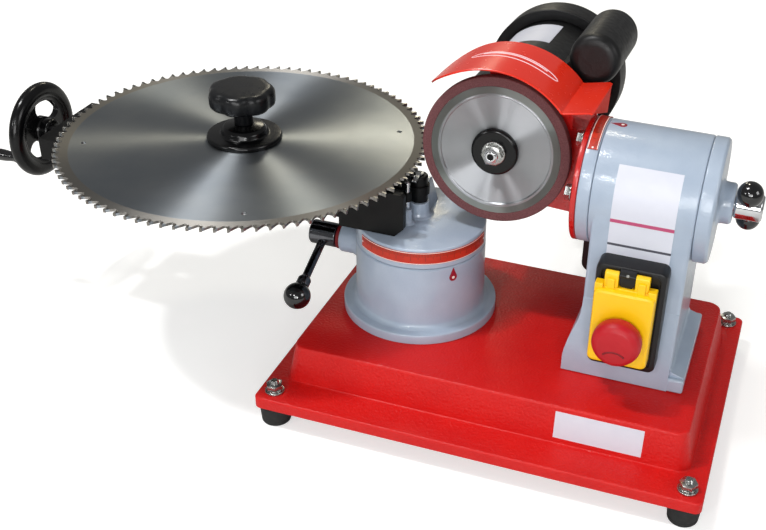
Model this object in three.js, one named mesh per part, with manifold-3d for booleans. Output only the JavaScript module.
// Bench machine that sharpens circular saw blades: a sheet base on rubber feet carries a
// swivelling pedestal with the blade slide, and a column with a tilting grinding head.
// Millimetres, +Z up, X along the blade slide, +Y away from the operator. The model is built
// about the swivel axis of the pedestal, which meets the ground at zero, and is then moved so
// that its origin is the middle of its own footprint.
import * as THREE from "three";
import { mergeVertices } from "three/addons/utils/BufferGeometryUtils.js";
import Module from "manifold-3d";

const wasm = await Module();
wasm.setup();

// Clearance between touching pieces, and how far a cutting solid runs past the face it cuts
const CLEAR = 0.3;
const OVERRUN = 1;
const MERGE_TOLERANCE = 1e-4;

// Facets round a circle
const COARSE = 8;
const ROUND = 12;
const SMOOTH = 20;
const WIDE = 34;

// Sheet base, its raised platform and its rubber feet
const foot = {
  radius: 13.75, tread: 12.6, treadRise: 1.2, height: 18.2, collar: 9, cornerInset: 14, blind: 11.7,
};
const tray = {
  width: 380, depth: 270, lip: 11, corner: 5, sheet: 2.5, centreX: 91, centreY: -5,
  skirtWidth: 350, skirtDepth: 206, topWidth: 338, topDepth: 198, rise: 34, topCorner: 9,
};
const stud = { radius: 4, washer: 8.3, washerThick: 1.5, nutFlats: 13, nutHeight: 6.5, tip: 3.2 };

// Round pedestal with the boss of its clamp
const pedestal = {
  flange: 68, flangeRise: 8.5, edge: 1.5, body: 57, neck: 56.3, fillet: 9.5, height: 67.5,
  hollow: 46, hub: 27, pivot: 20,
};
const clampBoss = { radius: 13, reach: 17, drop: 16.6 };
const clamp = {
  stud: 5, washer: 11.3, washerThick: 2.9, hub: 10.9, hubLength: 26, edge: 1.6, spin: 2.6,
  rod: 3.7, neckRadius: 6, neckLength: 7, lever: 69.5, ball: 10.7, seat: 7, leverDeg: 24.1,
};

// Turntable, its bed and its retaining bolt
const table = { radius: 56.3, height: 19.4, edge: 1.4 };
const scale = { rise: 8, height: 8.7, thick: 0.6, fromDeg: -41, toDeg: 89 };
const bed = {
  left: -50, step: -22.5, ledgeRight: 7, right: 20, blockRight: 11, front: 15.7, ledgeFront: 21,
  ledgeHeight: 13.5,
};
const retainer = { radius: 28, thick: 4.7, shank: 6, depth: 24, headFlats: 19, headHeight: 5 };
const post = { radius: 7.4, height: 24.2, x: -3.7, y: 4, edge: 1, arm: 10 };
const guidePin = { radius: 2.3, height: 25.2, x: -8, y: -14, foot: 3.4, link: 4 };
const finger = { thick: 1.4, width: 8, reach: 17, tip: 4.4, tipThick: 1.2, restDeg: 4 };

// Slide rail with its end plate, its bearing web and its upright cheek
const rail = {
  beyondBlade: 23, right: -22, width: 84, height: 20, wall: 6, roof: 8, lift: 9, endPlate: 8,
  slotWidth: 16, slotInset: 20, slotRight: -74, web: 6, webRight: -60,
};
const cheek = { left: -59, right: -1, thick: 6, bottomGap: 0.9, bladeGap: 2.3, chamfer: 8, edge: 2.5 };

// Lead screw, handwheel and crank knob
const screw = { radius: 5, journal: 4, drop: 14, collar: 9, collarThick: 4.7 };
const wheel = {
  gap: 16.5, rim: 37.5, rimTube: 6.5, hub: 11, hubLength: 22, bore: 5, web: 6, endWall: 3, setBack: 9,
  windowCurve: 21.5, windowHalf: 9.2, windowDeg: 65, windowSpanDeg: 44,
};
const crank = {
  radius: 35.6, angleDeg: 208, pin: 2.6, grip: 4.6, gripTip: 5.5, length: 24, edge: 1.4, seat: 4,
};
const WINDOWS = 2;
const WINDOW_STEPS = 8;

// Blade carriage and the clamp stack on its stud
const carriage = {
  length: 56, width: 56, plate: 6.7, table: 32, tableHeight: 6.5, pocket: 15.5, pocketDepth: 11.2,
  legLength: 28, legDepth: 11.2, legWidth: 34,
};
const bladeStud = { radius: 5, seat: 5, top: 39 };
const cone = { bore: 5.4, base: 15, baseRise: 3, nose: 12.9, height: 9.8, drop: 5 };
const spring = { wire: 0.6, low: 13.6, high: 9, turns: 2.5 };
const SPRING_STEPS_PER_TURN = 12;
const WIRE_SIDES = 5;
const blade = {
  radius: 161, thick: 2.2, bore: 15, toothDepth: 6.4, hook: 3.2, land: 3, slotLength: 17, gulletShare: 0.74,
  faceShare: 0.96, slotTurnShare: 0.3,
};
const TEETH = 96;
const EXPANSION_SLOTS = 4;
const slot = { width: 1.6, eye: 2.4 };
const flange = {
  radius: 32.6, rise: 4.5, edge: 1.2, recess: 15.2, recessDepth: 3, dome: 20.5, domeTop: 17, neckRise: 13.2,
};
const knob = {
  radius: 28.7, scallop: 1.9, neck: 8, neckRise: 16, height: 18, bevel: 3.6, flare: 13, flareRise: 4,
  blind: 28,
};
const KNOB_LOBES = 7;

// Column, horizontal housing, end cap and the tilt clamp
// The head stands a little off the level, its motor end low
const HEAD_TILT_DEG = -3.2;
const head = { axisZ: 215.8, left: 153, right: 234.2, radius: 50.1, bore: 18.3, edge: 1.2 };
const column = {
  left: 156, right: 233.9, front: 50, back: 50, footLeft: 144.5, footRight: 246.3, footFront: 54.6,
  footBack: 52, footRise: 13.2, flareTop: 56, flareFoot: 17, pocketWidth: 47, pocketHeight: 68,
  pocketDepth: 38, pocketRise: 39,
};
const cap = { thick: 12.2, edge: 1.6, boss: 16.5, bossReach: 11.3, bore: 6.3 };
const spindle = { nose: 12, body: 18, stud: 6 };
const turner = { thick: 10.1, edge: 1 };
const turnScale = { inset: 0.8, thick: 0.6, fromDeg: -29, toDeg: 40 };
const headLever = {
  hub: 10.9, hubLength: 22, edge: 1.8, rod: 3.7, arm: 42, ball: 9.9, seat: 6, leverDeg: 40,
};

// Bracket, motor, capacitor and guard
const bracket = {
  disc: 4.5, plate: 5, plateFront: 15, collar: 46, bore: 13, tab: 14, tabDeg: 96, flatTab: 19,
};
const bracketBolt = {
  radius: 3, flats: 11, head: 5.2, circle: 43, highDeg: 113.2, lowDeg: 173.2, depth: 9,
};
const motor = { shieldRadius: 50, shield: 10.4, body: 54, bore: 35, length: 166, rotor: 32, endGap: 9 };
const cowl = { radius: 64.5, wall: 2.5, overlap: 3, depth: 35.5, edge: 4, fanGap: 8 };
const can = { radius: 21.5, x: 62, z: 68, front: 55, length: 85, edge: 2, saddle: 24, bite: 6 };

// Grinding wheel and arbor, on an axis that runs away from the operator
const arbor = { x: 63, z: 225.3, radius: 6, journal: 10, nutFlats: 17, nutHeight: 6.4, tail: 3.2 };
const stone = {
  radius: 62.5, rim: 5.7, thick: 8.6, front: -2, web: 5.4, step: 48, stepDepth: 1.6, webSetBack: 1.2,
};
const arborFlange = { radius: 19.8, thick: 4.6, edge: 1.2 };
const guard = {
  gap: 13.5, sheet: 1.5, fromDeg: 44, toDeg: 139.7, front: 24, back: 51, flatEnd: 80, flatRise: 4.2,
  bendDeg: 41, earBack: 46, earDrop: 23, frontStartShare: 0.72, backStartShare: 0.5, tipYShare: 0.02,
  tipBackShare: 0.14,
};

// Switch with its hinged cover, and the closed connection box behind the column
const box = {
  left: 166.7, width: 55.6, bottom: 87, height: 94, depth: 16.7, corner: 4, plug: 24, plugFit: 1,
};
const cover = {
  side: 4, bottomInset: 10.5, height: 67, shell: 12, wall: 2, corner: 3, arm: 11, armGap: 13, armRise: 16,
  armRound: 3, pin: 1.8, pinInset: 4.4, clear: 1.2,
};
const mushroom = {
  radius: 19.7, rise: 30.5, dome: 6.5, skirt: 4.5, stem: 10.6, off: 1, travel: 3, shoulderShare: 0.88,
};
const button = { radius: 7.6, depth: 9, proud: 4.2, spacing: 24 };
const junction = { left: 134, width: 87, bottom: 97, height: 73, depth: 27, corner: 9 };

// Levels and places that follow from the sizes above
const trayBottom = foot.height + CLEAR;
const flangeTop = trayBottom + tray.lip;
const platformTop = flangeTop + tray.rise;
const pedestalBottom = platformTop + CLEAR;
const pedestalTop = pedestalBottom + pedestal.height;
const hubBottom = pedestalTop - pedestal.hub;
const clampZ = pedestalTop - clampBoss.drop;
const tableBottom = pedestalTop + CLEAR;
const tableTop = tableBottom + table.height;
const railBottom = tableTop + rail.lift;
const railTop = railBottom + rail.height;
const roofBottom = railTop - rail.roof;
const screwZ = railTop - screw.drop;
const carriageBottom = railTop + CLEAR;
const carriageTop = carriageBottom + carriage.plate + carriage.tableHeight;
const bladeBottom = carriageTop + CLEAR;
const bladeTop = bladeBottom + blade.thick;
const flangeBottom = bladeTop + CLEAR;
const domeTop = flangeBottom + flange.neckRise;
const knobBottom = domeTop + CLEAR;
const carriageX = post.x - CLEAR - blade.radius;
const railLeft = carriageX - blade.radius - rail.beyondBlade;
const slotLeft = railLeft + rail.slotInset;
const handwheelX = railLeft - screw.collarThick - CLEAR - wheel.gap - wheel.rimTube;
const turnerLeft = head.left - CLEAR - turner.thick;
const bracketLeft = turnerLeft - CLEAR - bracket.disc;
const capLeft = head.right + CLEAR;
const capRight = capLeft + cap.thick;
const bossRight = capRight + cap.bossReach;
const plateBack = bracket.plateFront + bracket.plate;
const shieldFront = plateBack + CLEAR;
const bodyFront = shieldFront + motor.shield + CLEAR;
const bodyBack = bodyFront + motor.length;
const guardInner = stone.radius + guard.gap - guard.sheet;

// Colours of the materials
const finishes = {
  red: { color: 0xd01c18, roughness: 0.45, metalness: 0.0 },
  hammer: { color: 0xaab4c4, roughness: 0.5, metalness: 0.1 },
  orange: { color: 0xf04a22, roughness: 0.5, metalness: 0.0 },
  guardRed: { color: 0xe83a24, roughness: 0.25, metalness: 0.0 },
  rubber: { color: 0x141414, roughness: 0.85, metalness: 0.0 },
  zinc: { color: 0xc8c9c6, roughness: 0.3, metalness: 1.0 },
  polished: { color: 0xd6d8da, roughness: 0.1, metalness: 1.0 },
  bladeSteel: { color: 0xb4b6b6, roughness: 0.28, metalness: 1.0 },
  blackOxide: { color: 0x26262a, roughness: 0.5, metalness: 0.6 },
  castBlack: { color: 0x1d1e20, roughness: 0.4, metalness: 0.2 },
  phenolic: { color: 0x0c0c0e, roughness: 0.2, metalness: 0.0 },
  motorBlack: { color: 0x1b1b1d, roughness: 0.55, metalness: 0.1 },
  wheelSteel: { color: 0xc0c2c6, roughness: 0.3, metalness: 1.0 },
  abrasive: { color: 0x7a474b, roughness: 0.8, metalness: 0.0 },
  blackPlastic: { color: 0x17171a, roughness: 0.45, metalness: 0.0 },
  yellow: { color: 0xf4c60e, roughness: 0.35, metalness: 0.0 },
  redPlastic: { color: 0xcf2a3c, roughness: 0.35, metalness: 0.0 },
  greenPlastic: { color: 0x1f8f3c, roughness: 0.35, metalness: 0.0 },
  springSteel: { color: 0x8c8f94, roughness: 0.3, metalness: 1.0 },
};

const part = new THREE.Group();

// Turns a geometry into a closed solid whose faces point out
function solid(geometry) {
  const bare = geometry.index ? geometry.toNonIndexed() : geometry.clone();
  bare.deleteAttribute("normal");
  bare.deleteAttribute("uv");
  const merged = mergeVertices(bare, MERGE_TOLERANCE);
  const points = merged.attributes.position.array;
  const index = Uint32Array.from(merged.index.array);
  if (signedVolume(points, index) < 0) {
    index.reverse();
  }
  return new wasm.Manifold(new wasm.Mesh({ numProp: 3, vertProperties: points, triVerts: index }));
}

function signedVolume(points, index) {
  const corners = [new THREE.Vector3(), new THREE.Vector3(), new THREE.Vector3()];
  let sum = 0;
  for (let i = 0; i < index.length; i += 3) {
    corners.forEach((corner, k) => corner.fromArray(points, 3 * index[i + k]));
    sum += corners[0].dot(corners[1].cross(corners[2]));
  }
  return sum;
}

// Turns a solid back into a geometry for a mesh
function geometryOf(body) {
  const mesh = body.getMesh();
  const stride = mesh.numProp;
  const positions = new Float32Array(mesh.numVert * 3);
  for (let i = 0; i < mesh.numVert; i += 1) {
    positions.set(mesh.vertProperties.subarray(i * stride, i * stride + 3), i * 3);
  }
  const geometry = new THREE.BufferGeometry();
  geometry.setAttribute("position", new THREE.BufferAttribute(positions, 3));
  geometry.setIndex(new THREE.BufferAttribute(new Uint32Array(mesh.triVerts), 1));
  geometry.computeVertexNormals();
  return geometry;
}

function addPiece(name, body, finish) {
  const mesh = new THREE.Mesh(geometryOf(body), new THREE.MeshStandardMaterial(finishes[finish]));
  mesh.name = name;
  part.add(mesh);
  return mesh;
}

// Adds a piece of the head, turned with the head about the axis of the housing
function addHeadPiece(name, body, finish) {
  const level = body.translate([0, 0, -head.axisZ]);
  const turned = level.rotate([HEAD_TILT_DEG, 0, 0]).translate([0, 0, head.axisZ]);
  return addPiece(name, turned, finish);
}

function join(bodies) {
  return bodies.reduce((sum, body) => sum.add(body));
}

function cut(body, tools) {
  return tools.reduce((rest, tool) => rest.subtract(tool), body);
}

const radians = THREE.MathUtils.degToRad;
const turnX = () => new THREE.Matrix4().makeRotationZ(-Math.PI / 2);
const turnZ = () => new THREE.Matrix4().makeRotationX(Math.PI / 2);
const identity = () => new THREE.Matrix4();
const AXES = { x: turnX, y: identity, z: turnZ };

// Turns a profile of [radius, place along the axis] pairs about a line along the named axis
function revolve(axis, profile, centre = [0, 0, 0], segments = SMOOTH) {
  const points = profile.map(([r, along]) => new THREE.Vector2(r, along));
  const geometry = new THREE.LatheGeometry(points, segments);
  geometry.applyMatrix4(AXES[axis]());
  geometry.translate(...centre);
  return solid(geometry);
}

// A round bar along the named axis between two places
function bar(axis, radius, from, to, centre = [0, 0, 0], segments = ROUND) {
  return revolve(axis, [[0, from], [radius, from], [radius, to], [0, to]], centre, segments);
}

// A cutting bar for a hole: its flats, not its corners, lie on the stated radius
function drill(axis, radius, from, to, centre = [0, 0, 0], segments = ROUND) {
  return bar(axis, radius / Math.cos(Math.PI / segments), from, to, centre, segments);
}

// A round bar whose two ends are bevelled
function bevelledBar(axis, radius, from, to, bevel, centre = [0, 0, 0], segments = ROUND) {
  const profile = [
    [0, from], [radius - bevel, from], [radius, from + bevel],
    [radius, to - bevel], [radius - bevel, to], [0, to],
  ];
  return revolve(axis, profile, centre, segments);
}

// A ring: a closed profile that stays off the axis
function ring(axis, profile, centre = [0, 0, 0], segments = SMOOTH) {
  return revolve(axis, [...profile, profile[0]], centre, segments);
}

function hexagon(axis, flats, from, to, centre = [0, 0, 0]) {
  const reach = flats / 2 / Math.cos(Math.PI / 6);
  return bar(axis, reach, from, to, centre, 6);
}

function block(x, y, z) {
  const geometry = new THREE.BoxGeometry(x[1] - x[0], y[1] - y[0], z[1] - z[0]);
  geometry.translate((x[0] + x[1]) / 2, (y[0] + y[1]) / 2, (z[0] + z[1]) / 2);
  return solid(geometry);
}

function outline(points, holes = []) {
  const shape = new THREE.Shape(points.map(([x, y]) => new THREE.Vector2(x, y)));
  holes.forEach((hole) => shape.holes.push(new THREE.Path(hole.map(([x, y]) => new THREE.Vector2(x, y)))));
  return shape;
}

function extruded(shape, depth) {
  return new THREE.ExtrudeGeometry(shape, { depth, bevelEnabled: false, curveSegments: COARSE });
}

// An outline in X and Z, carried along Y between two places
function slabAlongY(points, from, to) {
  const geometry = extruded(outline(points), to - from);
  geometry.rotateX(Math.PI / 2);
  geometry.translate(0, to, 0);
  return solid(geometry);
}

// An outline in X and Y, carried up between two levels
function slabAlongZ(points, from, to, holes = []) {
  const geometry = extruded(outline(points, holes), to - from);
  geometry.translate(0, 0, from);
  return solid(geometry);
}

// An outline in Y and Z, carried along X between two places
function slabAlongX(points, from, to) {
  const geometry = extruded(outline(points), to - from);
  const basis = new THREE.Matrix4().makeBasis(
    new THREE.Vector3(0, 1, 0), new THREE.Vector3(0, 0, 1), new THREE.Vector3(1, 0, 0));
  geometry.applyMatrix4(basis);
  geometry.translate(from, 0, 0);
  return solid(geometry);
}

// The corners of a rectangle rounded to a radius, round its middle
function roundedRectangle(width, depth, radius, centre = [0, 0], steps = 4) {
  const points = [];
  const corners = [[1, 1], [-1, 1], [-1, -1], [1, -1]];
  corners.forEach(([sx, sy], quarter) => {
    for (let i = 0; i <= steps; i += 1) {
      const angle = (quarter + i / steps) * Math.PI / 2;
      points.push([
        centre[0] + sx * (width / 2 - radius) + radius * Math.cos(angle),
        centre[1] + sy * (depth / 2 - radius) + radius * Math.sin(angle),
      ]);
    }
  });
  return points;
}

function circlePoints(radius, count, centre = [0, 0]) {
  return Array.from({ length: count }, (_, i) => {
    const angle = (2 * Math.PI * i) / count;
    return [centre[0] + radius * Math.cos(angle), centre[1] + radius * Math.sin(angle)];
  });
}

// A closed skin over sections with the same number of points, capped at both ends
function loft(sections) {
  const count = sections[0].length;
  const positions = sections.flat(2);
  const index = [];
  for (let s = 0; s + 1 < sections.length; s += 1) {
    for (let i = 0; i < count; i += 1) {
      const a = s * count + i;
      const b = s * count + ((i + 1) % count);
      index.push(a, b, b + count, a, b + count, a + count);
    }
  }
  const last = (sections.length - 1) * count;
  for (let i = 1; i + 1 < count; i += 1) {
    index.push(0, i + 1, i);
    index.push(last, last + i, last + i + 1);
  }
  const geometry = new THREE.BufferGeometry();
  geometry.setAttribute("position", new THREE.Float32BufferAttribute(positions, 3));
  geometry.setIndex(index);
  return solid(geometry);
}

function levelSection(points, z) {
  return points.map(([x, y]) => [x, y, z]);
}

// A point at a radius and an angle about a line along X, angles from +Y towards +Z
function aboutX(x, radius, degrees, centreZ) {
  return [x, radius * Math.cos(radians(degrees)), centreZ + radius * Math.sin(radians(degrees))];
}

// Part of a thin band about the Z axis, angles from -Y towards +X
function bandAboutZ(radius, thick, fromDeg, toDeg, from, to, steps = 18) {
  const outer = [];
  const inner = [];
  for (let i = 0; i <= steps; i += 1) {
    const angle = radians(fromDeg + ((toDeg - fromDeg) * i) / steps);
    const unit = [Math.sin(angle), -Math.cos(angle)];
    outer.push(unit.map((value) => value * (radius + thick)));
    inner.unshift(unit.map((value) => value * radius));
  }
  return slabAlongZ([...outer, ...inner], from, to);
}

// Base
function cornerPlaces() {
  const x = tray.width / 2 - foot.cornerInset;
  const y = tray.depth / 2 - foot.cornerInset;
  return [
    ["front_left", -x, -y], ["front_right", x, -y], ["rear_left", -x, y], ["rear_right", x, y],
  ].map(([name, dx, dy]) => [name, tray.centreX + dx, tray.centreY + dy]);
}

function trayShell(inset, bottom) {
  const middle = [tray.centreX, tray.centreY];
  const corner = Math.max(tray.corner - inset, inset);
  const topCorner = tray.topCorner - inset;
  const rectangle = (width, depth, radius) =>
    roundedRectangle(width - 2 * inset, depth - 2 * inset, radius, middle);
  const slab = slabAlongZ(rectangle(tray.width, tray.depth, corner), bottom, flangeTop - inset);
  const skirt = rectangle(tray.skirtWidth, tray.skirtDepth, topCorner);
  const top = rectangle(tray.topWidth, tray.topDepth, topCorner);
  const rootLevel = flangeTop - inset - tray.sheet / 2;
  const platform = loft([
    levelSection(skirt, rootLevel),
    levelSection(skirt, flangeTop - inset),
    levelSection(top, platformTop - inset),
  ]);
  return slab.add(platform);
}

function buildBase() {
  const bores = cornerPlaces().map(([, x, y]) =>
    drill("z", stud.radius + CLEAR, trayBottom, flangeTop + OVERRUN, [x, y, 0], COARSE));
  const shell = cut(trayShell(0, trayBottom), [trayShell(tray.sheet, trayBottom - OVERRUN), ...bores]);
  addPiece("base_tray", shell, "red");
  const plateUnder = flangeTop - tray.sheet;
  const shankTop = flangeTop + CLEAR;
  const nutBottom = shankTop + stud.washerThick;
  const nutTop = nutBottom + stud.nutHeight;
  cornerPlaces().forEach(([name, x, y]) => {
    const rubber = revolve("z", [
      [0, 0], [foot.tread, 0], [foot.radius, foot.treadRise], [foot.radius, foot.height],
      [foot.collar, foot.height], [foot.collar, plateUnder - CLEAR],
      [stud.radius + CLEAR, plateUnder - CLEAR], [stud.radius + CLEAR, foot.blind], [0, foot.blind],
    ], [x, y, 0], ROUND);
    addPiece(`foot_${name}`, rubber, "rubber");
    const shank = revolve("z", [
      [0, foot.blind + CLEAR], [stud.radius, foot.blind + CLEAR], [stud.radius, shankTop],
      [stud.washer, shankTop], [stud.washer, nutBottom], [stud.radius, nutBottom],
      [stud.radius, nutTop + stud.tip / 2],
      [stud.radius / 2, nutTop + stud.tip], [0, nutTop + stud.tip],
    ], [x, y, 0], COARSE);
    const nut = hexagon("z", stud.nutFlats, nutBottom - CLEAR, nutTop, [x, y, 0]);
    addPiece(`foot_bolt_${name}`, shank.add(nut), "zinc");
  });
}

// Pedestal with the clamp of the swivel
function concaveFillet(bodyRadius, level, radius, steps = 4) {
  return Array.from({ length: steps + 1 }, (_, i) => {
    const angle = (Math.PI / 2) * (i / steps);
    return [bodyRadius + radius * (1 - Math.sin(angle)), level + radius * (1 - Math.cos(angle))];
  });
}

function buildPedestal() {
  const ledge = pedestalBottom + pedestal.flangeRise;
  const bell = ring("z", [
    [pedestal.hollow, pedestalBottom], [pedestal.flange, pedestalBottom],
    [pedestal.flange, ledge - pedestal.edge], [pedestal.flange - pedestal.edge, ledge],
    ...concaveFillet(pedestal.body, ledge, pedestal.fillet),
    [pedestal.neck, pedestalTop], [pedestal.pivot + CLEAR, pedestalTop],
    [pedestal.pivot + CLEAR, hubBottom], [pedestal.hollow, hubBottom],
  ], [0, 0, 0], WIDE);
  const bossEnd = -(pedestal.body + clampBoss.reach);
  const boss = bar("x", clampBoss.radius, bossEnd, -pedestal.hollow, [0, 0, clampZ]);
  const bore = drill("x", clamp.stud + CLEAR, bossEnd - OVERRUN, 0, [0, 0, clampZ]);
  addPiece("pedestal", bell.add(boss).subtract(bore), "hammer");
  buildSwivelClamp(bossEnd);
}

function buildSwivelClamp(bossEnd) {
  const washerRight = bossEnd - CLEAR;
  const washerLeft = washerRight - clamp.washerThick;
  const washer = ring("x", [
    [clamp.stud + CLEAR, washerLeft], [clamp.washer, washerLeft],
    [clamp.washer, washerRight], [clamp.stud + CLEAR, washerRight],
  ], [0, 0, clampZ], ROUND);
  addPiece("clamp_washer", washer, "redPlastic");
  const hubRight = washerLeft - CLEAR;
  const hubLeft = hubRight - clamp.hubLength;
  const middle = (hubLeft + hubRight) / 2;
  const hub = bevelledBar("x", clamp.hub, hubLeft, hubRight, clamp.edge, [0, 0, clampZ]);
  const studEnd = -(pedestal.pivot + CLEAR);
  const shaft = bar("x", clamp.stud, hubRight - OVERRUN, studEnd - CLEAR, [0, 0, clampZ], COARSE);
  const tip = clamp.lever - clamp.ball;
  const rod = revolve("y", [
    [0, 0], [clamp.rod, 0], [clamp.rod, tip - clamp.neckLength - clamp.spin],
    [clamp.neckRadius, tip - clamp.neckLength], [clamp.neckRadius, tip - CLEAR], [clamp.rod, tip - CLEAR],
    [clamp.rod, tip + clamp.seat], [0, tip + clamp.seat],
  ], [0, 0, 0], COARSE);
  const angle = 180 + clamp.leverDeg;
  const place = (body) => body.rotate([angle, 0, 0]).translate([middle, 0, clampZ]);
  addPiece("clamp_lever", join([hub, shaft, place(rod)]), "polished");
  const knobBody = ballKnob(clamp.ball, clamp.rod + CLEAR, clamp.seat + CLEAR, clamp.lever);
  addPiece("clamp_ball", place(knobBody), "phenolic");
}

// A ball with a flat and a blind bore towards the lever, its middle at a place along Y
function ballKnob(radius, bore, depth, place, steps = 8) {
  const flat = Math.asin(Math.min(1, (bore + bore / 2) / radius));
  const rim = [];
  for (let i = 0; i <= steps; i += 1) {
    const angle = flat + ((Math.PI - flat) * i) / steps;
    rim.push([radius * Math.sin(angle), place - radius * Math.cos(angle)]);
  }
  rim[rim.length - 1][0] = 0;
  const mouth = rim[0][1];
  const end = place - radius + depth;
  return revolve("y", [[0, end], [bore, end], [bore, mouth], ...rim], [0, 0, 0], ROUND);
}

// Turntable, bed, scale, retainer and tooth stop
function buildTable() {
  const disc = revolve("z", [
    [0, hubBottom], [pedestal.pivot, hubBottom], [pedestal.pivot, tableBottom], [table.radius, tableBottom],
    [table.radius, tableTop - table.edge], [table.radius - table.edge, tableTop], [0, tableTop],
  ], [0, 0, 0], WIDE);
  const boreTop = hubBottom + retainer.depth + CLEAR;
  const bore = drill("z", retainer.shank + CLEAR, hubBottom - OVERRUN, boreTop, [0, 0, 0], COARSE);
  const halfGuide = rail.width / 2 - rail.wall - CLEAR;
  const top = roofBottom - CLEAR;
  const sunk = tableTop - table.edge;
  const guide = block([bed.left, bed.step], [-halfGuide, halfGuide], [sunk, top]);
  const root = bed.step - OVERRUN;
  const ledge = block(
    [root, bed.ledgeRight], [-bed.ledgeFront, bed.front + OVERRUN], [sunk, tableTop + bed.ledgeHeight]);
  const stop = slabAlongY([
    [root, sunk], [bed.right, sunk], [bed.right, tableTop], [bed.blockRight, top], [root, top],
  ], bed.front, halfGuide);
  const within = bar("z", table.radius, sunk, top + OVERRUN, [0, 0, 0], WIDE);
  const bedBody = join([guide, ledge, stop]).intersect(within);
  addPiece("turntable", join([disc, bedBody]).subtract(bore), "hammer");
  const discTop = hubBottom - CLEAR;
  const discBottom = discTop - retainer.thick;
  const bolt = join([
    bevelledBar("z", retainer.radius, discBottom, discTop, CLEAR),
    bar("z", retainer.shank, discTop - OVERRUN, hubBottom + retainer.depth, [0, 0, 0], COARSE),
    hexagon("z", retainer.headFlats, discBottom - retainer.headHeight, discBottom + OVERRUN),
  ]);
  addPiece("pivot_retainer", bolt, "zinc");
  const low = tableBottom + scale.rise;
  const band = bandAboutZ(
    table.radius + CLEAR, scale.thick, scale.fromDeg, scale.toDeg, low, low + scale.height);
  addPiece("swivel_scale", band, "orange");
  buildStop();
}

function buildStop() {
  const seat = tableTop + bed.ledgeHeight + CLEAR;
  const postTop = seat + post.height;
  const column = bevelledBar("z", post.radius, seat, postTop, post.edge, [post.x, post.y, 0]);
  addPiece("stop_post", column, "blackOxide");
  const pinTop = seat + guidePin.height;
  const pinEdge = guidePin.radius / 4;
  const pin = bevelledBar("z", guidePin.radius, seat, pinTop, pinEdge, [guidePin.x, guidePin.y, 0], COARSE);
  addPiece("stop_guide_pin", pin, "polished");
  const low = postTop + CLEAR;
  const eye = bar("z", finger.width / 2, low, low + finger.thick, [0, 0, 0], COARSE);
  const arm = block([-finger.width / 4, finger.width / 4], [-finger.reach, 0], [low, low + finger.thick]);
  const tip = block(
    [-finger.tipThick / 2, finger.tipThick / 2], [-finger.reach, -finger.reach + finger.width / 3],
    [low, low + finger.thick + finger.tip]);
  const pawl = join([eye, arm, tip]).rotate([0, 0, finger.restDeg]).translate([post.x, post.y, 0]);
  addPiece("stop_finger", pawl, "springSteel");
}

// Slide rail
function buildRail() {
  const half = rail.width / 2;
  const outer = block([railLeft, rail.right], [-half, half], [railBottom, railTop]);
  const inside = half - rail.wall;
  const plateRight = railLeft + rail.endPlate;
  const webLeft = rail.webRight - rail.web;
  const line = [0, 0, screwZ];
  const channel = block(
    [plateRight, rail.right + OVERRUN], [-inside, inside], [railBottom - OVERRUN, roofBottom]);
  const gap = block(
    [slotLeft, rail.slotRight], [-rail.slotWidth / 2, rail.slotWidth / 2],
    [roofBottom - OVERRUN, railTop + OVERRUN]);
  const web = block(
    [webLeft, rail.webRight], [-inside - OVERRUN, inside + OVERRUN], [railBottom, roofBottom + OVERRUN]);
  const plateBore = drill("x", screw.radius + CLEAR, railLeft - OVERRUN, plateRight + OVERRUN, line);
  const webBore = drill(
    "x", screw.journal + CLEAR, webLeft - OVERRUN, rail.webRight + OVERRUN, line, COARSE);
  const body = join([cut(outer, [channel, gap]), web, cheekBody(half), stopArm()]);
  addPiece("slide_rail", cut(body, [plateBore, webBore]), "blackOxide");
}

// The arm of the slide that holds the post and the pin of the tooth stop
function stopArm() {
  const arm = block(
    [rail.right - OVERRUN, post.x], [post.y - post.arm / 2, post.y + post.arm / 2], [roofBottom, railTop]);
  const link = block(
    [rail.right - OVERRUN, guidePin.x], [guidePin.y - guidePin.link / 2, guidePin.y + guidePin.link / 2],
    [roofBottom, railTop]);
  const foot = bar("z", guidePin.foot + CLEAR, roofBottom, railTop, [guidePin.x, guidePin.y, 0]);
  const eye = bar("z", post.radius + guidePin.foot / 2, roofBottom, railTop, [post.x, post.y, 0]);
  const bore = (radius, x, y, segments) =>
    drill("z", radius + CLEAR, roofBottom - OVERRUN, railTop + OVERRUN, [x, y, 0], segments);
  const postBore = bore(post.radius, post.x, post.y, ROUND);
  const pinBore = bore(guidePin.radius, guidePin.x, guidePin.y, COARSE);
  return cut(join([arm, link, foot, eye]), [postBore, pinBore]);
}

function cheekBody(half) {
  const low = tableTop + cheek.bottomGap;
  const high = bladeBottom - cheek.bladeGap;
  return slabAlongY([
    [cheek.left, low], [cheek.right - cheek.chamfer, low], [cheek.right, low + cheek.chamfer],
    [cheek.right, high - cheek.edge], [cheek.right - cheek.edge, high], [cheek.left, high],
  ], -half, -half + cheek.thick);
}

// Lead screw and handwheel
function buildCrank() {
  const collarRight = railLeft - CLEAR;
  const collarLeft = collarRight - screw.collarThick;
  const journalLeft = rail.webRight - rail.web - CLEAR;
  const shaftEnd = handwheelX - wheel.setBack + wheel.endWall;
  const shaft = revolve("x", [
    [0, shaftEnd], [screw.radius, shaftEnd], [screw.radius, collarLeft], [screw.collar, collarLeft],
    [screw.collar, collarRight], [screw.radius, collarRight], [screw.radius, journalLeft],
    [screw.journal, journalLeft], [screw.journal, rail.webRight], [0, rail.webRight],
  ], [0, 0, screwZ], ROUND);
  addPiece("lead_screw", shaft, "polished");
  addPiece("handwheel", handwheelBody(shaftEnd), "castBlack");
  buildCrankKnob();
}

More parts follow.
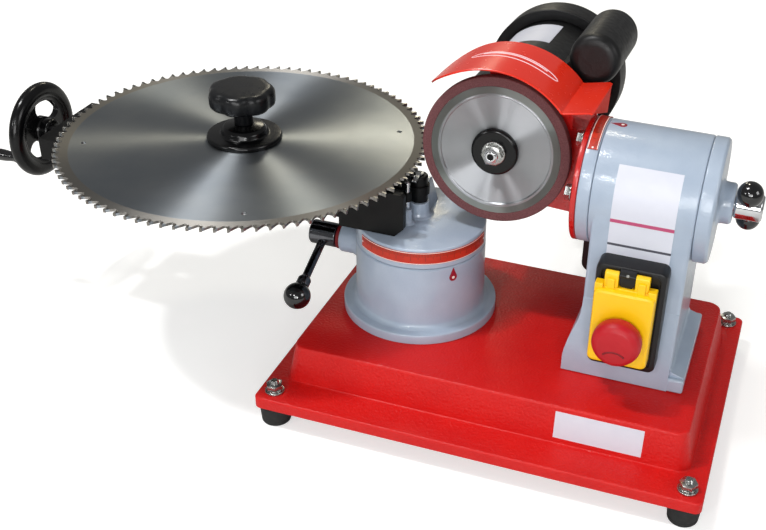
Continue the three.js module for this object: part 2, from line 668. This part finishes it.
function handwheelBody(shaftEnd) {
  const torus = new THREE.TorusGeometry(wheel.rim, wheel.rimTube, COARSE, SMOOTH);
  torus.rotateY(Math.PI / 2);
  torus.translate(handwheelX, 0, screwZ);
  const hubLeft = handwheelX - wheel.setBack;
  const hub = bevelledBar("x", wheel.hub, hubLeft, hubLeft + wheel.hubLength, CLEAR, [0, 0, screwZ]);
  const web = bar(
    "x", wheel.rim, handwheelX - wheel.web / 2, handwheelX + wheel.web / 2, [0, 0, screwZ], COARSE);
  const windows = Array.from({ length: WINDOWS }, (_, i) => slabAlongX(
    handwheelWindow(wheel.windowDeg + (360 * i) / WINDOWS), handwheelX - wheel.web, handwheelX + wheel.web));
  const hubRight = handwheelX + wheel.hubLength;
  const bore = drill("x", wheel.bore + CLEAR, shaftEnd - CLEAR, hubRight, [0, 0, screwZ]);
  const seat = crankSeat();
  const pinBore = drill(
    "x", crank.pin + CLEAR, seat.left - OVERRUN, seat.pinEnd + CLEAR, [0, seat.y, seat.z], COARSE);
  return cut(join([cut(web, windows), solid(torus), hub]), [bore, pinBore]);
}

// A kidney window of the handwheel: a round-ended slot that bends about the axis, as points in Y and Z
function handwheelWindow(middleDeg) {
  const from = middleDeg - wheel.windowSpanDeg / 2;
  const to = middleDeg + wheel.windowSpanDeg / 2;
  const at = (radius, degrees) => aboutX(0, radius, degrees, screwZ).slice(1);
  const arc = (radius, start, end) => Array.from({ length: WINDOW_STEPS + 1 }, (_, k) =>
    at(radius, start + ((end - start) * k) / WINDOW_STEPS));
  const nose = (degrees, sign) => {
    const [y, z] = at(wheel.windowCurve, degrees);
    return Array.from({ length: WINDOW_STEPS - 1 }, (_, k) => {
      const turn = radians(degrees + (sign * 180 * (k + 1)) / WINDOW_STEPS);
      return [y + wheel.windowHalf * Math.cos(turn), z + wheel.windowHalf * Math.sin(turn)];
    });
  };
  const outer = wheel.windowCurve + wheel.windowHalf;
  const inner = wheel.windowCurve - wheel.windowHalf;
  return [...arc(outer, from, to), ...nose(to, 1), ...arc(inner, to, from), ...nose(from, -1).reverse()];
}

function crankSeat() {
  const [, y, z] = aboutX(0, crank.radius, crank.angleDeg, screwZ);
  const left = handwheelX - wheel.rimTube;
  return { y, z, left, pinEnd: left + crank.seat + wheel.rimTube / 2 };
}

function buildCrankKnob() {
  const seat = crankSeat();
  const right = seat.left - CLEAR;
  const left = right - crank.length;
  const grip = revolve("x", [
    [0, left], [crank.gripTip - crank.edge, left], [crank.gripTip, left + crank.edge],
    [crank.gripTip, left + crank.length / 3], [crank.grip - crank.edge, right - crank.length / 4],
    [crank.grip, right], [crank.pin, right], [crank.pin, seat.pinEnd], [0, seat.pinEnd],
  ], [0, seat.y, seat.z], ROUND);
  addPiece("crank_knob", grip, "phenolic");
}

// Blade carriage
function buildCarriage() {
  const x = carriageX;
  const pocketBottom = carriageTop - carriage.pocketDepth;
  const plateTop = carriageBottom + carriage.plate;
  const outlineOfPlate = roundedRectangle(carriage.length, carriage.width, carriage.plate / 2, [x, 0]);
  const plate = slabAlongZ(outlineOfPlate, carriageBottom, plateTop);
  const seat = bar("z", carriage.table, plateTop - OVERRUN, carriageTop, [x, 0, 0], SMOOTH);
  const halfLeg = carriage.legLength / 2;
  const tongueHalf = rail.slotWidth / 2 - CLEAR;
  const nutTop = roofBottom - CLEAR;
  const nutBottom = nutTop - carriage.legDepth;
  const alongX = [x - halfLeg, x + halfLeg];
  const halfNut = carriage.legWidth / 2;
  const tongue = block(alongX, [-tongueHalf, tongueHalf], [nutTop - OVERRUN, carriageBottom + OVERRUN]);
  const nut = block(alongX, [-halfNut, halfNut], [nutBottom, nutTop]);
  const pocket = drill("z", carriage.pocket, pocketBottom, carriageTop + OVERRUN, [x, 0, 0], ROUND);
  const studSeat = pocketBottom - bladeStud.seat;
  const studBore = drill(
    "z", bladeStud.radius + CLEAR, studSeat - CLEAR, pocketBottom + OVERRUN, [x, 0, 0], COARSE);
  const screwBore = drill(
    "x", screw.radius + CLEAR, alongX[0] - OVERRUN, alongX[1] + OVERRUN, [0, 0, screwZ]);
  const body = join([plate, seat, tongue, nut]);
  addPiece("blade_carriage", cut(body, [pocket, studBore, screwBore]), "blackOxide");
  buildCone(x, pocketBottom);
  const studTop = carriageTop + bladeStud.top;
  const rod = bevelledBar("z", bladeStud.radius, studSeat, studTop, CLEAR, [x, 0, 0], COARSE);
  addPiece("blade_stud", rod, "zinc");
}

function buildCone(x, pocketBottom) {
  const top = carriageTop + cone.height - cone.drop;
  const low = top - cone.height;
  const body = ring("z", [
    [cone.bore, low], [cone.base, low], [cone.base, low + cone.baseRise],
    [cone.nose, top], [cone.bore, top],
  ], [x, 0, 0], ROUND);
  addPiece("centring_cone", body, "polished");
  const from = pocketBottom + CLEAR + spring.wire;
  const to = low - CLEAR - spring.wire;
  addPiece("cone_spring", coneSpring(from, to, [x, 0, 0]), "springSteel");
}

// A round wire wound up about Z, its coils narrowing from the low end to the high end
function coneSpring(from, to, centre) {
  const count = Math.round(spring.turns * SPRING_STEPS_PER_TURN);
  const middles = [];
  const sections = [];
  const up = new THREE.Vector3(0, 0, 1);
  for (let i = 0; i <= count; i += 1) {
    const share = i / count;
    const angle = 2 * Math.PI * spring.turns * share;
    const radius = spring.low + (spring.high - spring.low) * share;
    const out = new THREE.Vector3(Math.cos(angle), Math.sin(angle), 0);
    const level = new THREE.Vector3(centre[0], centre[1], from + (to - from) * share);
    const middle = out.clone().multiplyScalar(radius).add(level);
    middles.push(middle);
    sections.push(Array.from({ length: WIRE_SIDES }, (_, k) => {
      const turn = (2 * Math.PI * k) / WIRE_SIDES;
      const offset = out.clone().multiplyScalar(spring.wire * Math.cos(turn));
      offset.addScaledVector(up, spring.wire * Math.sin(turn));
      return middle.clone().add(offset).toArray();
    }));
  }
  reportLeastGap(middles);
  return loft(sections);
}

// Prints how near two coils come, from the surface of the one to the surface of the other
function reportLeastGap(middles) {
  let least = Infinity;
  middles.forEach((point, i) => {
    for (let j = i + Math.round(SPRING_STEPS_PER_TURN / 2); j < middles.length; j += 1) {
      least = Math.min(least, point.distanceTo(middles[j]) - spring.wire - spring.wire);
    }
  });
  console.log(`least gap between spring coils: ${least.toFixed(2)} mm`);
}

// Saw blade: each tooth has an upright face, a short land and a sloping back down to the gullet
function bladeOutline() {
  const points = [];
  const pitch = (2 * Math.PI) / TEETH;
  const at = (radius, arc) => [radius * Math.cos(arc), radius * Math.sin(arc)];
  const root = blade.radius - blade.toothDepth;
  for (let i = 0; i < TEETH; i += 1) {
    const start = i * pitch;
    points.push(at(blade.radius, start));
    points.push(at(blade.radius - blade.hook / 4, start + blade.land / blade.radius));
    points.push(at(root, start + pitch * blade.gulletShare));
    points.push(at(root + blade.hook / 3, start + pitch * blade.faceShare));
  }
  return points;
}

function expansionSlots() {
  const root = blade.radius - blade.toothDepth - slot.width;
  return Array.from({ length: EXPANSION_SLOTS }, (_, i) => {
    const angle = (2 * Math.PI * (i + blade.slotTurnShare)) / EXPANSION_SLOTS;
    const inner = root - blade.slotLength;
    const eye = circlePoints(slot.eye, 10).map(([x, y]) => [inner + x, y]);
    const cosine = Math.cos(angle);
    const sine = Math.sin(angle);
    return eye.map(([x, y]) => [x * cosine - y * sine, x * sine + y * cosine]);
  });
}

function buildBlade() {
  const holes = [circlePoints(blade.bore, ROUND), ...expansionSlots()];
  const body = slabAlongZ(bladeOutline(), bladeBottom, bladeTop, holes).translate([carriageX, 0, 0]);
  addPiece("saw_blade", body, "bladeSteel");
  const bore = bladeStud.radius + CLEAR;
  const discTop = flangeBottom + flange.rise;
  const clampDisc = ring("z", [
    [flange.recess, flangeBottom], [flange.radius, flangeBottom], [flange.radius, discTop - flange.edge],
    [flange.radius - flange.edge, discTop], [flange.dome, discTop],
    [flange.dome - flange.edge, discTop + flange.rise],
    [flange.domeTop, domeTop - flange.edge], [knob.neck, domeTop], [bore, domeTop],
    [bore, flangeBottom + flange.recessDepth], [flange.recess, flangeBottom + flange.recessDepth],
  ], [carriageX, 0, 0], SMOOTH);
  addPiece("clamp_flange", clampDisc, "castBlack");
  buildClampKnob(bore);
}

function lobedOutline(radius, dip) {
  const count = KNOB_LOBES * 6;
  return Array.from({ length: count }, (_, i) => {
    const angle = (2 * Math.PI * i) / count;
    const reach = radius - dip * (0.5 + 0.5 * Math.cos(KNOB_LOBES * angle)) ** 2;
    return [carriageX + reach * Math.cos(angle), reach * Math.sin(angle)];
  });
}

function buildClampKnob(bore) {
  const bodyBottom = knobBottom + knob.neckRise;
  const top = bodyBottom + knob.height;
  const neck = revolve("z", [
    [0, knobBottom], [knob.neck, knobBottom], [knob.neck, bodyBottom - knob.flareRise],
    [knob.flare, bodyBottom + OVERRUN], [0, bodyBottom + OVERRUN],
  ], [carriageX, 0, 0], ROUND);
  const grip = loft([
    levelSection(lobedOutline(knob.radius - knob.bevel, knob.scallop), bodyBottom),
    levelSection(lobedOutline(knob.radius, knob.scallop), bodyBottom + knob.bevel),
    levelSection(lobedOutline(knob.radius, knob.scallop), top - knob.bevel),
    levelSection(lobedOutline(knob.radius - knob.bevel, knob.scallop / 2), top),
  ]);
  const hole = drill("z", bore, knobBottom - OVERRUN, knobBottom + knob.blind, [carriageX, 0, 0], COARSE);
  addPiece("clamp_knob", neck.add(grip).subtract(hole), "phenolic");
}

// Column with its horizontal housing
function buildColumn() {
  const footBottom = platformTop + CLEAR;
  const footTop = footBottom + column.footRise;
  const shaft = slabAlongY([
    [column.footLeft, footBottom], [column.footRight, footBottom], [column.footRight, footTop],
    [column.right, footTop + column.footRise / 3], [column.right, head.axisZ], [column.left, head.axisZ],
    ...columnFlare(footBottom),
  ], -column.front, column.back);
  const slab = block(
    [column.footLeft, column.footRight], [-column.footFront, column.footBack], [footBottom, footTop]);
  const barrel = bevelledBar("x", head.radius, head.left, head.right, head.edge, [0, 0, head.axisZ], WIDE);
  const bore = drill("x", head.bore, head.left - OVERRUN, head.right + OVERRUN, [0, 0, head.axisZ], SMOOTH);
  const pocket = pocketSolid(-column.front - OVERRUN, -column.front + column.pocketDepth);
  const rearPocket = pocketSolid(column.back - column.pocketDepth, column.back + OVERRUN);
  addPiece("head_column", cut(join([shaft, slab, barrel]), [bore, pocket, rearPocket]), "hammer");
  buildCap();
  buildSpindle();
}

function columnFlare(footBottom) {
  const reach = column.left - column.footLeft;
  const top = footBottom + column.flareTop;
  const low = footBottom + column.flareFoot;
  const flareShares = [0.04, 0.14, 0.34, 0.62, 0.9];
  const curve = flareShares.map((share, i) => {
    const along = i / (flareShares.length - 1);
    return [column.left - reach * share, top + (low - top) * along];
  });
  return [...curve, [column.footLeft, low - column.footRise / 4]];
}

function pocketSolid(from, to) {
  const x = (column.left + column.right) / 2;
  const low = platformTop + CLEAR + column.pocketRise;
  const half = column.pocketWidth / 2;
  return block([x - half, x + half], [from, to], [low, low + column.pocketHeight]);
}

function buildCap() {
  const plate = ring("x", [
    [cap.bore + CLEAR, capLeft], [head.radius, capLeft], [head.radius, capRight - cap.edge],
    [head.radius - cap.edge, capRight], [cap.boss, capRight], [cap.boss, bossRight - cap.edge],
    [cap.boss - cap.edge, bossRight], [cap.bore + CLEAR, bossRight],
  ], [0, 0, head.axisZ], WIDE);
  addPiece("end_cap", plate, "hammer");
}

function buildSpindle() {
  const hubRight = bossRight + CLEAR + headLever.hubLength;
  const shaft = revolve("x", [
    [0, bracketLeft + CLEAR], [spindle.nose, bracketLeft + CLEAR], [spindle.nose, head.left],
    [spindle.body, head.left], [spindle.body, head.right - CLEAR], [spindle.stud, head.right - CLEAR],
    [spindle.stud, bossRight + headLever.hubLength / 4], [0, bossRight + headLever.hubLength / 4],
  ], [0, 0, head.axisZ], ROUND);
  addHeadPiece("tilt_spindle", shaft, "polished");
  const flangeRing = ring("x", [
    [spindle.nose + CLEAR, turnerLeft], [head.radius, turnerLeft],
    [head.radius, head.left - CLEAR - turner.edge], [head.radius - turner.edge, head.left - CLEAR],
    [spindle.nose + CLEAR, head.left - CLEAR],
  ], [0, 0, head.axisZ], WIDE);
  addHeadPiece("tilt_flange", cut(flangeRing, boltBores()), "hammer");
  buildTiltScale();
  buildHeadLever(bossRight + CLEAR, hubRight);
}

function buildTiltScale() {
  const steps = 16;
  const outer = [];
  const inner = [];
  for (let i = 0; i <= steps; i += 1) {
    const angle = turnScale.fromDeg + ((turnScale.toDeg - turnScale.fromDeg) * i) / steps + 90;
    const place = (radius) => aboutX(0, radius, angle, head.axisZ).slice(1);
    outer.push(place(head.radius + CLEAR + turnScale.thick));
    inner.unshift(place(head.radius + CLEAR));
  }
  const right = head.left - CLEAR - turner.edge;
  const body = slabAlongX([...outer, ...inner], turnerLeft + turnScale.inset, right);
  addHeadPiece("tilt_scale", body, "orange");
}

function buildHeadLever(hubLeft, hubRight) {
  const middle = (hubLeft + hubRight) / 2;
  const hub = bevelledBar("x", headLever.hub, hubLeft, hubRight, headLever.edge, [0, 0, head.axisZ]);
  const reach = headLever.arm - headLever.ball + headLever.seat;
  const rod = bar("y", headLever.rod, -reach, reach, [0, 0, 0], COARSE);
  const studEnd = bossRight + headLever.hubLength / 4;
  const blind = drill(
    "x", spindle.stud + CLEAR, hubLeft - OVERRUN, studEnd + CLEAR, [0, 0, head.axisZ], COARSE);
  const place = (body, turn) =>
    body.rotate([turn - headLever.leverDeg, 0, 0]).translate([middle, 0, head.axisZ]);
  addPiece("head_lever", join([hub, place(rod, 0)]).subtract(blind), "polished");
  const bore = headLever.rod + CLEAR;
  const knobBody = () => ballKnob(headLever.ball, bore, headLever.seat + CLEAR, headLever.arm);
  addPiece("head_ball_rear", place(knobBody(), 0), "phenolic");
  addPiece("head_ball_front", place(knobBody(), 180), "phenolic");
}

// Bracket that carries the motor, and its bolts
function boltPlaces() {
  return [["upper", bracketBolt.highDeg], ["lower", bracketBolt.lowDeg]].map(([name, degrees]) => {
    const [, y, z] = aboutX(0, bracketBolt.circle, degrees, head.axisZ);
    return { name, y, z };
  });
}

function boltBores() {
  const end = bracketLeft + bracket.disc + bracketBolt.depth;
  return boltPlaces().map(({ y, z }) =>
    drill("x", bracketBolt.radius + CLEAR, bracketLeft - OVERRUN, end, [0, y, z], COARSE));
}

function buildBracket() {
  const discRight = bracketLeft + bracket.disc;
  const disc = bar("x", head.radius, bracketLeft, discRight, [0, 0, head.axisZ], WIDE);
  const collar = bar("y", bracket.collar, bracket.plateFront, plateBack, [arbor.x, 0, arbor.z], SMOOTH);
  const lowZ = head.axisZ - bracket.collar + bracket.plate;
  const highZ = head.axisZ + bracket.collar - bracket.plate;
  const arm = slabAlongY([
    [arbor.x, arbor.z - bracket.collar + OVERRUN], [discRight, lowZ], [discRight, highZ],
    [arbor.x, arbor.z + bracket.collar - OVERRUN],
  ], bracket.plateFront, plateBack);
  const halfTab = bracket.tab / 2;
  const tabTop = Math.sqrt((guardInner - CLEAR) ** 2 - halfTab ** 2) - CLEAR / 2;
  const thickness = [bracket.plateFront, plateBack];
  const tab = block([-halfTab, halfTab], thickness, [bracket.collar - bracket.plate, tabTop])
    .rotate([0, 90 - bracket.tabDeg, 0]).translate([arbor.x, 0, arbor.z]);
  const centre = [arbor.x, 0, arbor.z];
  const bore = drill("y", bracket.bore, bracket.plateFront - OVERRUN, plateBack + OVERRUN, centre);
  const nose = drill(
    "x", spindle.nose + CLEAR, bracketLeft - OVERRUN, discRight + OVERRUN, [0, 0, head.axisZ]);
  const body = join([disc, collar, arm, tab, flatTab()]);
  addHeadPiece("head_bracket", cut(body, [bore, nose, ...boltBores()]), "red");
  boltPlaces().forEach(({ name, y, z }) => {
    const headRight = bracketLeft - CLEAR;
    const end = discRight + bracketBolt.depth - CLEAR;
    const shank = bar("x", bracketBolt.radius, headRight - OVERRUN, end, [0, y, z], COARSE);
    const cap6 = hexagon("x", bracketBolt.flats, headRight - bracketBolt.head, headRight, [0, y, z]);
    addHeadPiece(`bracket_bolt_${name}`, cap6.add(shank), "zinc");
  });
}

// The second tab, which stands under the flat end of the guard
function flatTab() {
  const { bendX, bendZ, endX, endZ } = guardFlat();
  const slope = (endZ - bendZ) / (endX - bendX);
  const under = (x) => bendZ + slope * (x - bendX) - CLEAR;
  const left = bendX + guard.sheet;
  const right = left + bracket.flatTab;
  const low = head.axisZ + bracket.collar / 2;
  const corners = [[left, low], [right, low], [right, under(right)], [left, under(left)]];
  return slabAlongY(corners, bracket.plateFront, plateBack);
}

// Motor
function buildMotor() {
  const centre = [arbor.x, 0, arbor.z];
  const shield = ring("y", [
    [arbor.journal + CLEAR, shieldFront], [motor.shieldRadius - motor.endGap, shieldFront],
    [motor.shieldRadius, shieldFront + motor.endGap / 2], [motor.body, bodyFront - CLEAR],
    [arbor.journal + CLEAR, bodyFront - CLEAR],
  ], centre, SMOOTH);
  addHeadPiece("motor_shield", shield, "motorBlack");
  const body = ring("y", [
    [motor.bore, bodyFront], [motor.body, bodyFront], [motor.body, bodyBack], [motor.bore, bodyBack],
  ], centre, WIDE);
  addHeadPiece("motor_body", body, "motorBlack");
  const lip = bodyBack - cowl.overlap;
  const back = lip + cowl.depth;
  const inner = cowl.radius - cowl.wall;
  const cup = revolve("y", [
    [0, back], [cowl.radius - cowl.edge, back], [cowl.radius, back - cowl.edge], [cowl.radius, lip],
    [motor.body + CLEAR, lip], [motor.body + CLEAR, lip + cowl.overlap], [inner, lip + cowl.overlap],
    [inner, back - cowl.wall], [0, back - cowl.wall],
  ], centre, WIDE);
  addHeadPiece("fan_cowl", cup, "motorBlack");
  buildCan();
}

function buildCan() {
  const x = arbor.x + can.x;
  const z = arbor.z + can.z;
  const back = can.front + can.length;
  const cylinder = bevelledBar("y", can.radius, can.front, back, can.edge, [x, 0, z], SMOOTH);
  const distance = Math.hypot(can.x, can.z);
  const saddle = block(
    [-can.saddle / 2, can.saddle / 2], [can.front + can.bite, can.front + can.length - can.bite],
    [-(distance - motor.body) + CLEAR - can.bite, -can.radius + can.bite]);
  const degrees = THREE.MathUtils.radToDeg(Math.atan2(can.x, can.z));
  const placed = saddle.rotate([0, degrees, 0]).translate([x, 0, z]);
  const motorRound = drill(
    "y", motor.body + CLEAR, can.front, can.front + can.length, [arbor.x, 0, arbor.z], WIDE);
  addHeadPiece("capacitor_can", cut(cylinder.add(placed), [motorRound]), "motorBlack");
}

// Arbor, flanges and grinding wheel
function buildArbor() {
  const centre = [arbor.x, 0, arbor.z];
  const webFront = stone.front + stone.webSetBack;
  const webBack = webFront + stone.web;
  const rearFlange = webBack + CLEAR;
  const frontFlange = webFront - CLEAR;
  const nutBack = frontFlange - arborFlange.thick - CLEAR;
  const nutFront = nutBack - arbor.nutHeight;
  const cowlBack = bodyBack - cowl.overlap + cowl.depth;
  const tail = nutFront - arbor.tail;
  const shoulder = rearFlange + arborFlange.thick + CLEAR;
  const shaft = revolve("y", [
    [0, tail], [arbor.radius - CLEAR, tail], [arbor.radius, tail + CLEAR],
    [arbor.radius, shoulder], [arbor.journal, shoulder],
    [arbor.journal, bodyFront + motor.endGap], [motor.rotor, bodyFront + motor.endGap],
    [motor.rotor, bodyBack - motor.endGap], [arbor.journal, bodyBack - motor.endGap],
    [arbor.journal, cowlBack - cowl.wall - cowl.fanGap],
    [0, cowlBack - cowl.wall - cowl.fanGap],
  ], centre, ROUND);
  addHeadPiece("motor_shaft", shaft, "polished");
  const washer = (from, to, slopeFront) => ring("y", [
    [arbor.radius + CLEAR, from], [arborFlange.radius - (slopeFront ? arborFlange.edge : 0), from],
    [arborFlange.radius, from + arborFlange.edge], [arborFlange.radius, to],
    [arbor.radius + CLEAR, to],
  ], centre, SMOOTH);
  addHeadPiece("inner_flange", washer(rearFlange, rearFlange + arborFlange.thick, false), "blackOxide");
  addHeadPiece("outer_flange", washer(frontFlange - arborFlange.thick, frontFlange, true), "blackOxide");
  const nut = hexagon("y", arbor.nutFlats, nutFront, nutBack, centre);
  const thread = drill("y", arbor.radius + CLEAR, nutFront - OVERRUN, nutBack + OVERRUN, centre, ROUND);
  addHeadPiece("arbor_nut", nut.subtract(thread), "zinc");
  buildStone(centre, webFront, webBack);
}

function buildStone(centre, webFront, webBack) {
  const coreRadius = stone.radius - stone.rim;
  const core = ring("y", [
    [arbor.radius + CLEAR, webFront], [stone.step, webFront], [stone.step + stone.stepDepth, stone.front],
    [coreRadius, stone.front], [coreRadius, webBack], [arbor.radius + CLEAR, webBack],
  ], centre, WIDE);
  addHeadPiece("wheel_core", core, "wheelSteel");
  const rim = ring("y", [
    [coreRadius + CLEAR, stone.front], [stone.radius, stone.front],
    [stone.radius, stone.front + stone.thick], [coreRadius + CLEAR, stone.front + stone.thick],
  ], centre, WIDE);
  addHeadPiece("abrasive_rim", rim, "abrasive");
}

// Guard: a rolled sheet over the wheel, drawn in to a tip at its free end, then bent out flat
function guardEdges(degrees) {
  const tipShare = (degrees - guard.fromDeg) / (guard.toDeg - guard.fromDeg);
  const frontPull = Math.max(0, (tipShare - guard.frontStartShare) / (1 - guard.frontStartShare));
  const backPull = Math.max(0, (tipShare - guard.backStartShare) / (1 - guard.backStartShare));
  const front = -guard.front + (guard.front + guard.tipYShare * guard.back) * frontPull ** 2;
  const back = guard.back - (guard.back * (1 - guard.tipBackShare)) * backPull ** 3;
  return [front, back];
}

function guardSection(x, z, nx, nz, front, back) {
  const outer = [x + nx * guard.sheet, z + nz * guard.sheet];
  return [[x, front, z], [x, back, z], [outer[0], back, outer[1]], [outer[0], front, outer[1]]];
}

function guardFlat() {
  const bendX = arbor.x + guardInner * Math.cos(radians(guard.bendDeg));
  const bendZ = arbor.z + guardInner * Math.sin(radians(guard.bendDeg));
  return { bendX, bendZ, endX: arbor.x + guard.flatEnd, endZ: bendZ + guard.flatRise };
}

function buildGuard() {
  const steps = 22;
  const sections = [];
  for (let i = 0; i <= steps; i += 1) {
    const degrees = guard.toDeg + ((guard.fromDeg - guard.toDeg) * i) / steps;
    const nx = Math.cos(radians(degrees));
    const nz = Math.sin(radians(degrees));
    const [front, back] = guardEdges(degrees);
    sections.push(guardSection(arbor.x + guardInner * nx, arbor.z + guardInner * nz, nx, nz, front, back));
  }
  const { bendX, bendZ, endX, endZ } = guardFlat();
  const lean = Math.SQRT1_2;
  const across = Math.sqrt(1 - lean * lean / 4);
  sections.push(guardSection(bendX, bendZ, lean / 2, across, -guard.front, guard.back));
  sections.push(guardSection(endX, endZ, 0, 1, -guard.front, guard.back));
  const sheet = loft(sections);
  const ear = guardEar(endX, endZ);
  addHeadPiece("wheel_guard", sheet.add(ear), "guardRed");
}

// Folded ear under the end of the guard, a triangle that deepens towards the back
function guardEar(endX, endZ) {
  return slabAlongX([
    [-guard.front, endZ], [-guard.front, endZ + guard.sheet], [guard.back, endZ + guard.sheet],
    [guard.back, endZ], [guard.earBack, endZ - guard.earDrop],
  ], endX - guard.sheet, endX);
}

// Switch on the front of the column
function buildSwitch() {
  const right = box.left + box.width;
  const back = -column.front - CLEAR;
  const front = back - box.depth;
  const top = box.bottom + box.height;
  const middleX = (column.left + column.right) / 2;
  const plugHalf = column.pocketWidth / 2 - box.plugFit;
  const plugLow = platformTop + CLEAR + column.pocketRise + box.plugFit;
  const plugHigh = plugLow + column.pocketHeight - box.plugFit - box.plugFit;
  const centre = [(box.left + right) / 2, (box.bottom + top) / 2];
  const shell = slabAlongY(roundedRectangle(box.width, box.height, box.corner, centre), front, back);
  const plug = block(
    [middleX - plugHalf, middleX + plugHalf], [back - OVERRUN, back + box.plug], [plugLow, plugHigh]);
  const places = buttonPlaces();
  const bores = places.map(({ z }) =>
    drill("y", button.radius + CLEAR, front - OVERRUN, front + button.depth, [mushroomX(), 0, z], ROUND));
  const seat = hingeSeat(front, top);
  addPiece("switch_box", join([cut(shell.add(plug), bores), hingeLugs(seat, front)]), "blackPlastic");
  places.forEach(({ name, z, finish }) => {
    const inner = front + button.depth - CLEAR - mushroom.travel;
    const outer = front - button.proud;
    addPiece(name, bevelledBar("y", button.radius, outer, inner, CLEAR, [mushroomX(), 0, z]), finish);
  });
  buildCover(seat, front);
  buildMushroom(front);
}

function mushroomX() {
  return box.left + box.width / 2 - mushroom.off - mushroom.off;
}

function mushroomZ() {
  return box.bottom + box.height / 2 - mushroom.rise + mushroom.radius + mushroom.travel / 3 + mushroom.off;
}

function buttonPlaces() {
  const z = mushroomZ();
  return [
    { name: "stop_button", z, finish: "redPlastic" },
    { name: "start_button", z: z + button.spacing, finish: "greenPlastic" },
  ];
}

// The hinge line of the cover, just in front of the box near its top
function hingeSeat(front, top) {
  return { y: front - cover.clear - cover.pinInset / 2, z: top - cover.pinInset - cover.clear };
}

// A lug between the arms of the cover, with a pin that reaches into both arms
function hingeLugs(seat, front) {
  const x = mushroomX();
  const half = cover.armGap / 2 - CLEAR;
  const lug = block(
    [x - half, x + half], [seat.y - cover.pinInset / 2, front + OVERRUN],
    [seat.z - cover.armRise / 2, seat.z + cover.pinInset / 2]);
  const pin = bar("x", cover.pin, x - half - cover.arm, x + half + cover.arm, [0, seat.y, seat.z], COARSE);
  return lug.add(pin);
}

function buildCover(seat, front) {
  const x = mushroomX();
  const half = box.width / 2 - cover.side;
  const low = box.bottom + cover.bottomInset;
  const high = low + cover.height;
  const back = front - CLEAR;
  const face = back - cover.shell;
  const middle = (low + high) / 2;
  const rectangle = (inset) =>
    roundedRectangle(2 * (half - inset), cover.height - 2 * inset, cover.corner, [x, middle]);
  const outer = slabAlongY(rectangle(0), face, back);
  const hollow = slabAlongY(rectangle(cover.wall), face + cover.wall, back + OVERRUN);
  const arms = [-1, 1].map((side) => {
    const inner = x + side * (cover.armGap / 2);
    const outerEdge = inner + side * cover.arm;
    const spanX = side < 0 ? [outerEdge, inner] : [inner, outerEdge];
    const leg = block(
      spanX, [seat.y - cover.armRound, seat.y + cover.armRound], [high - cover.wall, seat.z]);
    return leg.add(bar("x", cover.armRound, ...spanX, [0, seat.y, seat.z]));
  });
  const pinBore = drill("x", cover.pin + CLEAR, x - half, x + half, [0, seat.y, seat.z], COARSE);
  const stemBore = drill("y", mushroom.stem + CLEAR, face - OVERRUN, back + OVERRUN, [x, 0, mushroomZ()]);
  addPiece("switch_cover", cut(join([cut(outer, [hollow]), ...arms]), [pinBore, stemBore]), "yellow");
}

function buildMushroom(front) {
  const face = front - CLEAR - cover.shell;
  const rim = face - CLEAR - mushroom.travel;
  const centre = [mushroomX(), 0, mushroomZ()];
  const domeFront = rim - mushroom.skirt - mushroom.dome;
  const stemEnd = front - button.proud - CLEAR;
  const body = revolve("y", [
    [0, domeFront], [mushroom.radius / 2, domeFront + mushroom.dome / 6],
    [mushroom.radius * mushroom.shoulderShare, rim - mushroom.skirt - mushroom.dome / 4],
    [mushroom.radius, rim - mushroom.skirt], [mushroom.radius, rim],
    [mushroom.stem, rim], [mushroom.stem, stemEnd], [0, stemEnd],
  ], centre, SMOOTH);
  addPiece("mushroom_button", body, "redPlastic");
}

// Closed box behind the column that holds the connections
function buildJunction() {
  const x = junction.left + junction.width / 2;
  const z = junction.bottom + junction.height / 2;
  const back = column.back + CLEAR;
  const face = roundedRectangle(junction.width, junction.height, junction.corner, [x, z]);
  addPiece("connection_box", slabAlongY(face, back, back + junction.depth), "blackPlastic");
}

buildBase();
buildPedestal();
buildTable();
buildRail();
buildCrank();
buildCarriage();
buildBlade();
buildColumn();
buildBracket();
buildMotor();
buildArbor();
buildGuard();
buildSwitch();
buildJunction();

// The origin is the middle of the footprint, on the ground
const bounds = new THREE.Box3().setFromObject(part, true);
const middle = bounds.getCenter(new THREE.Vector3());
part.position.set(-middle.x, -middle.y, -bounds.min.z);

export default part;
